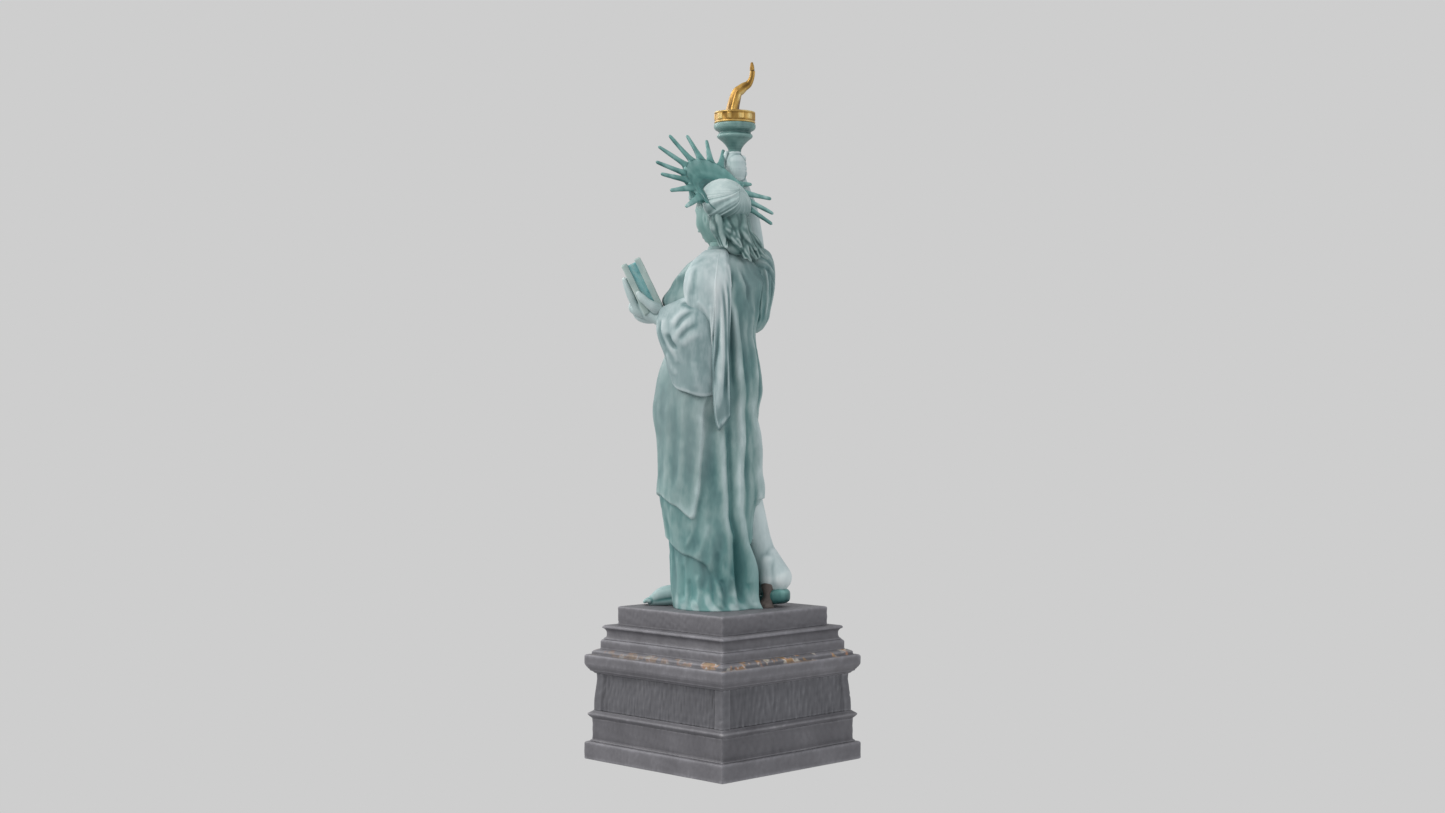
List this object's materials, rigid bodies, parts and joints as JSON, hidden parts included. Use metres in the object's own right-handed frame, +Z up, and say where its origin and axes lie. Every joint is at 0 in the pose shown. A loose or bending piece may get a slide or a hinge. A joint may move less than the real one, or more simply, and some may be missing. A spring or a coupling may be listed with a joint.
{
  "type": "figurine",
  "caption": "Small cast figurine of a robed, crowned figure holding up a torch and carrying a book, on a stepped square pedestal.",
  "frame": {"origin": "centre of the underside of the pedestal", "axes": "+Z up; the figure faces -Y, with its left hand towards +X and its raised right arm on -X"},
  "size_m": [0.085, 0.085, 0.305],
  "materials": {
    "felt": "pressed felt",
    "cast_stone": "matt, worn pale along the edges",
    "dark_stone": "rough, tooled with upright strokes",
    "steel": "zinc plated",
    "brass": "as turned",
    "patina_resin": "painted verdigris with deeper wash in the folds and dry-brushed pale ridges",
    "teal_resin": "painted deeper verdigris, satin",
    "gold_paint": "gold leaf paint with a brown wash"
  },
  "bodies": {
    "root": {"felt_pad": "felt", "base_slab": "cast_stone", "lower_dado": "cast_stone", "bead_moulding": "cast_stone", "main_cornice": "cast_stone", "step_course": "cast_stone", "cove_course": "cast_stone", "top_plinth": "cast_stone", "main_dado": "dark_stone", "heel_prop": "dark_stone", "tie_rod": "steel", "rod_nut": "steel", "rod_washer": "steel", "locating_pin_1": "steel", "locating_pin_2": "steel", "neck_dowel": "steel", "arm_dowel": "steel", "forearm_dowel": "steel", "torch_dowel": "steel", "figure_insert": "brass", "gown": "patina_resin", "mantle": "patina_resin", "right_sleeve": "patina_resin", "right_leg": "patina_resin", "left_foot": "patina_resin", "left_forearm": "patina_resin", "right_arm": "patina_resin", "head": "patina_resin", "hair": "patina_resin", "hair_locks": "teal_resin", "tablet": "teal_resin", "crown_band": "teal_resin", "torch_cup": "teal_resin", "crown_ray_01": "teal_resin", "crown_ray_02": "teal_resin", "crown_ray_03": "teal_resin", "crown_ray_04": "teal_resin", "crown_ray_05": "teal_resin", "crown_ray_06": "teal_resin", "crown_ray_07": "teal_resin", "crown_ray_08": "teal_resin", "crown_ray_09": "teal_resin", "crown_ray_10": "teal_resin", "crown_ray_11": "teal_resin", "crown_ray_12": "teal_resin", "crown_ray_13": "teal_resin", "torch_gallery": "gold_paint", "torch_flame": "gold_paint"}
  },
  "joints": []
}
